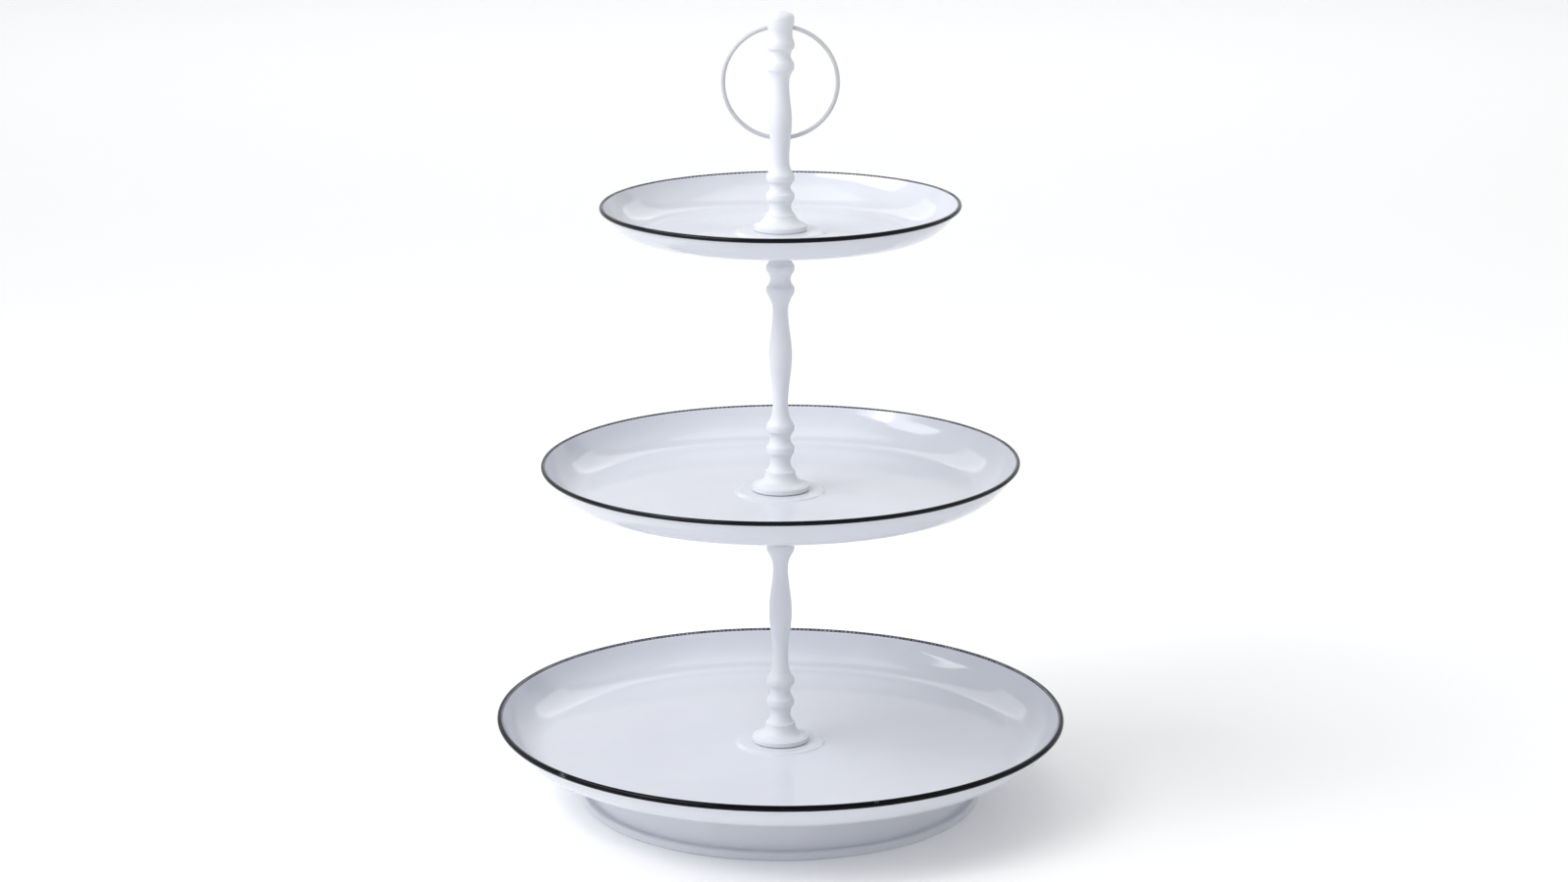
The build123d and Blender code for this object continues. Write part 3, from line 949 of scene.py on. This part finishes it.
def make_stud(node):
    """Threaded rod between two posts, bevelled at both ends."""
    lowest, highest = low(node), high(node)
    points = [(0.0, lowest.z), (THREAD_RADIUS - THREAD_DEPTH, lowest.z)]
    points += shank_steps(THREAD_RADIUS, highest.z, lowest.z + THREAD_DEPTH)
    angles = even_angles(THREAD_SEGMENTS)
    stud = turned(node + "_threaded", np.array(points), angles, shape=threaded)
    finish_piece(stud, node)


def make_washer():
    """Flat washer with the rounded edges of a stamping."""
    lowest, highest = low("base_washer"), high("base_washer")
    outline = rounded_box(HOLE, highest.x, lowest.z, highest.z, spread=0.16)
    washer = turned("base_washer_stamped", outline, even_angles(WASHER_SEGMENTS), closed=True)
    finish_piece(washer, "base_washer")


SPLIT = 0.11                # half the angle between the split washer's ends, in radians
END_SLANT = 0.1             # turn of an end per millimetre of height, in radians
SLANT_REACH = 0.5           # how far round the slant dies away, in radians


def make_spring_washer():
    """Split ring of square wire, its two ends a little apart and cut aslant."""
    lowest, highest = low("base_spring_washer"), high("base_spring_washer")
    outline = rounded_box(HOLE, -lowest.x, lowest.z, highest.z, spread=0.14)[:-1]
    sweep = np.linspace(SPLIT, math.tau - SPLIT, WASHER_SEGMENTS + 1)
    points = turn_grid(outline, sweep)
    middle_z = (lowest.z + highest.z) / 2
    near_end = np.exp(-np.minimum(sweep, math.tau - sweep) / SLANT_REACH)
    turn = near_end * (points[..., 2] - middle_z) * END_SLANT
    x, y = points[..., 0].copy(), points[..., 1].copy()
    points[..., 0] = x * np.cos(turn) - y * np.sin(turn)
    points[..., 1] = x * np.sin(turn) + y * np.cos(turn)
    rows, columns = points.shape[:2]
    last = columns - 1
    faces = grid_faces(rows, columns, True, {(i, last) for i in range(rows)})
    faces += [[i * columns for i in range(rows)], [i * columns + last for i in range(rows)]]
    washer = make_object("base_spring_washer_split", points.reshape(-1, 3), faces)
    finish_piece(washer, "base_spring_washer")


RECESS_REACH = 3.0          # from the axis to the end of the recess's arm
RECESS_HALF = 0.68          # half the width of an arm
RECESS_DEPTH = 2.0


def cross_radius(angle):
    """Radius of a cross-shaped recess's edge in a direction."""
    c, s = np.abs(np.cos(angle)), np.abs(np.sin(angle))
    c, s = np.maximum(c, 1e-6), np.maximum(s, 1e-6)
    first = np.minimum(RECESS_REACH / c, RECESS_HALF / s)
    second = np.minimum(RECESS_REACH / s, RECESS_HALF / c)
    return np.maximum(first, second)


# Rows of the recess from its floor out: share of the cross, and share of the depth.
RECESS_ROWS = ((0.0, 1.075), (0.55, 1.0), (0.72, 0.86), (0.93, 0.15), (0.97, 0.05), (1.02, 0.0))
RECESS_MARGIN = 0.3         # flat ring round the recess
HEAD_ROUND = 1.9            # rounding of the screw head's face


def recess_angles():
    """Angles that meet every corner of the cross, mirrored about its arms."""
    corner = math.atan2(RECESS_HALF, RECESS_REACH)
    eighth = np.concatenate([np.linspace(0, corner, 4), np.linspace(corner, math.pi / 4, 8)])
    quarter = np.unique(np.round(np.concatenate([eighth, math.pi / 2 - eighth]), 9))[:-1]
    return np.concatenate([quarter + k * math.pi / 2 for k in range(4)])


def make_screw():
    """Pan-head screw from below, with a tapered cross recess and a threaded shank."""
    node = "base_screw"
    lowest, highest = low(node), high(node)
    head_top = low("base_spring_washer").z
    angles = recess_angles()
    steps = rounded((highest.x, lowest.z), HEAD_ROUND, OUT, UP)
    steps += [(highest.x, head_top), (THREAD_RADIUS, head_top)]
    face = trace((RECESS_REACH + RECESS_MARGIN, lowest.z), steps)
    face = spaced(soften(face, 0.08), longest=0.6)
    shank = np.array(shank_steps(THREAD_RADIUS, highest.z, head_top + THREAD_DEPTH))
    outer = threaded(turn_grid(np.concatenate([face, shank]), angles))
    cross = cross_radius(angles)
    recess = [np.stack([cross * share * np.cos(angles), cross * share * np.sin(angles),
                        np.full(len(angles), lowest.z + depth * RECESS_DEPTH)], -1)
              for share, depth in RECESS_ROWS]
    points = np.concatenate([np.array(recess), outer])
    faces = grid_faces(len(points), len(angles), False)
    finish_piece(make_object(node + "_threaded", points.reshape(-1, 3), faces), node)


# ------------------------------------------------------------------ the stand
for tier_index, tier_name in enumerate(TIERS):
    make_tray(tier_index)
    make_rim(tier_index)
    for side_name in ("upper", "lower"):
        make_gasket(tier_name + "_gasket_" + side_name)
make_foot()
for post_node in ("lower_post", "middle_post"):
    make_long_post(post_node)
make_handle()
make_ring()
for stud_node in ("middle_stud", "top_stud"):
    make_stud(stud_node)
make_washer()
make_spring_washer()
make_screw()


# ------------------------------------------------------------------ stage
FLOOR_GLOW = 0.09           # light the pale floor gives by itself
HALF_WIDTH = 7.0            # of floor and backdrop, in metres
FLOOR_FRONT, FLOOR_BACK = -5.0, 5.5
SWEEP = 1.5                 # bend between floor and backdrop
BACKDROP_TOP = 4.0
SWEEP_STEPS = 12


def sweep_backdrop():
    """Floor that bends up into a backdrop, as one smooth sheet."""
    rows = [(FLOOR_FRONT, 0.0), (FLOOR_BACK, 0.0)]
    for step in range(1, SWEEP_STEPS + 1):
        angle = math.pi / 2 * step / SWEEP_STEPS
        rows.append((FLOOR_BACK + SWEEP * math.sin(angle), SWEEP * (1 - math.cos(angle))))
    rows.append((FLOOR_BACK + SWEEP, BACKDROP_TOP))
    vertices = [(x, y, z) for y, z in rows for x in (-HALF_WIDTH, HALF_WIDTH)]
    faces = [(2 * i, 2 * i + 1, 2 * i + 3, 2 * i + 2) for i in range(len(rows) - 1)]
    mesh = bpy.data.meshes.new("backdrop")
    mesh.from_pydata(vertices, [], faces)
    mesh.shade_smooth()
    backdrop = bpy.data.objects.new("backdrop", mesh)
    bpy.context.scene.collection.objects.link(backdrop)
    s = Shader("paper")
    s.set(Base_Color=(0.93, 0.93, 0.935, 1), Roughness=0.9)
    s.set(Emission_Color=(1, 1, 1, 1), Emission_Strength=FLOOR_GLOW)
    mesh.materials.append(s.material)


def softbox(name, place, target, size, power):
    """Rectangular lamp, in metres and watts, that faces its target."""
    data = bpy.data.lights.new(name, "AREA")
    data.shape = "RECTANGLE"
    data.size, data.size_y = size
    data.energy = power
    lamp = bpy.data.objects.new(name, data)
    lamp.location = place
    aim = Vector(target) - Vector(place)
    lamp.rotation_euler = aim.to_track_quat("-Z", "Y").to_euler()
    bpy.context.scene.collection.objects.link(lamp)


def studio_room(plus, minus):
    """Dim room round the stage, with its brightness towards each axis, one way and the other."""
    world = bpy.data.worlds.new("studio")
    bpy.context.scene.world = world
    world.use_nodes = True
    nodes, links = world.node_tree.nodes, world.node_tree.links

    def vector(operation, first, second):
        node = nodes.new("ShaderNodeVectorMath")
        node.operation = operation
        links.new(first, node.inputs[0])
        if isinstance(second, tuple):
            node.inputs[1].default_value = second
        else:
            links.new(second, node.inputs[1])
        return node.outputs["Value" if operation == "DOT_PRODUCT" else "Vector"]

    direction = nodes.new("ShaderNodeTexCoord").outputs["Generated"]
    total = nodes.new("ShaderNodeMath")
    for index, (half, sides) in enumerate((("MAXIMUM", plus), ("MINIMUM", minus))):
        part = vector(half, direction, (0.0, 0.0, 0.0))
        share = vector("DOT_PRODUCT", vector("MULTIPLY", part, part), sides)
        links.new(share, total.inputs[index])
    links.new(total.outputs[0], nodes["Background"].inputs["Strength"])
    nodes["Background"].inputs["Color"].default_value = (0.98, 0.99, 1.0, 1)


sweep_backdrop()
softbox("key_left", (-1.71, -0.30, 1.76), (0, 0, 0.25), (1.5, 0.8), 17.6)
softbox("key_front_left", (-1.35, -1.13, 1.73), (0, 0, 0.25), (1.2, 0.8), 16.4)
softbox("top", (0.0, 0.2, 2.7), (0, 0.1, 0.2), (2.0, 2.0), 15.0)
softbox("right", (1.88, 0.0, 1.57), (0, 0, 0.25), (3.2, 2.4), 15.0)
softbox("behind", (0.0, 3.8, 2.6), (0, 3.8, 0), (6.0, 2.6), 58.0)
studio_room(plus=(0.22, 0.20, 0.22), minus=(1.15, 0.66, 0.0))


# ------------------------------------------------------------------ camera
LENS = 84.06                # focal length on a sensor 36 mm wide, in millimetres
CAMERA_PLACE = (0.0025, -2.506, 0.886)
CAMERA_DIP = 14             # degrees below horizontal

camera_data = bpy.data.cameras.new("camera")
camera_data.lens = LENS
camera_data.sensor_width = 36.0
camera = bpy.data.objects.new("camera", camera_data)
camera.location = CAMERA_PLACE
camera.rotation_euler = (math.radians(90 - CAMERA_DIP), 0, 0)
bpy.context.scene.collection.objects.link(camera)
bpy.context.scene.camera = camera
bpy.context.scene.view_settings.view_transform = "Standard"
